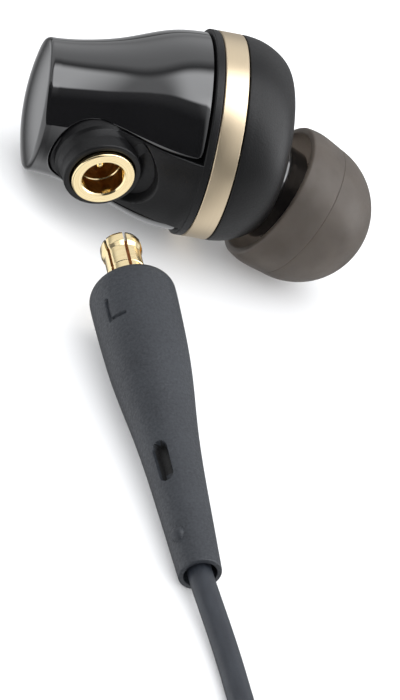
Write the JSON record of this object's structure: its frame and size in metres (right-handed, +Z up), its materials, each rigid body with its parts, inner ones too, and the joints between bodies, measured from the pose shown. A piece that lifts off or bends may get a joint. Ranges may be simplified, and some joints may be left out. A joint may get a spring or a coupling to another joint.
{
  "type": "in-ear monitor with detachable lead",
  "caption": "In-ear monitor lying on its side with its detachable lead drawn straight out of the socket; rubber sleeve, coiled cord and 3.5 mm plug.",
  "frame": {"origin": "on the table, under the middle of the box round the earphone and the lead's rubber sleeve", "axes": "+Z up; the lead's axis runs along -Y from the socket towards the cord; the ear tip points along +X"},
  "size_m": [0.0372, 0.1425, 0.0171],
  "materials": {
    "gloss_shell": "black piano gloss",
    "matte_shell": "fine-grained black",
    "champagne_ring": "turned champagne anodising, bright chamfers",
    "gold_contact": "polished gold plate",
    "silicone_tip": "smoky translucent silicone",
    "sleeve_rubber": "spark-textured grey-black elastomer",
    "cord_jacket": "satin blue-grey elastomer",
    "dark_insulator": "dark brown moulding",
    "steel_part": "plated",
    "copper_wire": "enamelled wire",
    "foam_part": "open-cell foam and film",
    "circuit_board": "solder mask"
  },
  "bodies": {
    "lead": {"sleeve": "sleeve_rubber", "plug_ferrule": "steel_part", "cord_run": "cord_jacket", "cord_coil": "cord_jacket", "cord_tail": "cord_jacket", "cable_tie": "sleeve_rubber", "jack_relief": "sleeve_rubber", "jack_barrel": "matte_shell", "jack_sleeve_contact": "gold_contact", "jack_ring_insulator": "dark_insulator", "jack_ring_contact": "gold_contact", "jack_tip_insulator": "dark_insulator", "jack_tip_contact": "gold_contact"},
    "plug": {"plug_collet": "gold_contact", "plug_insulator": "dark_insulator", "plug_contact": "gold_contact"},
    "earphone": {"rear_cover": "gloss_shell", "rear_housing": "matte_shell", "trim_ring": "champagne_ring", "front_housing": "matte_shell", "driver_frame": "dark_insulator", "diaphragm": "foam_part", "voice_coil": "copper_wire", "pole_plate": "steel_part", "magnet": "steel_part", "yoke": "steel_part", "driver_gasket": "foam_part", "terminal_board": "circuit_board", "nozzle": "gloss_shell", "acoustic_damper": "foam_part", "nozzle_mesh": "steel_part", "socket_barrel": "gold_contact", "socket_insulator": "dark_insulator", "socket_pin": "gold_contact", "socket_nut": "steel_part", "signal_wire": "copper_wire", "ground_wire": "copper_wire"},
    "ear_tip": {"ear_tip": "silicone_tip"}
  },
  "joints": [
    {"name": "plug_swivel", "type": "hinge", "parent": "lead", "child": "plug", "pos_m": [-0.00953, 0.00579, 0.00477], "axis": [0, -0.9953, -0.0969], "continuous": true},
    {"name": "plug_insertion", "type": "slide", "parent": "plug", "child": "earphone", "axis": [0, -0.9953, -0.0969], "range_m": [0, 0.012]},
    {"name": "ear_tip_pull", "type": "slide", "parent": "earphone", "child": "ear_tip", "axis": [0.9619, -0.2221, -0.1595], "range_m": [0, 0.006]}
  ]
}
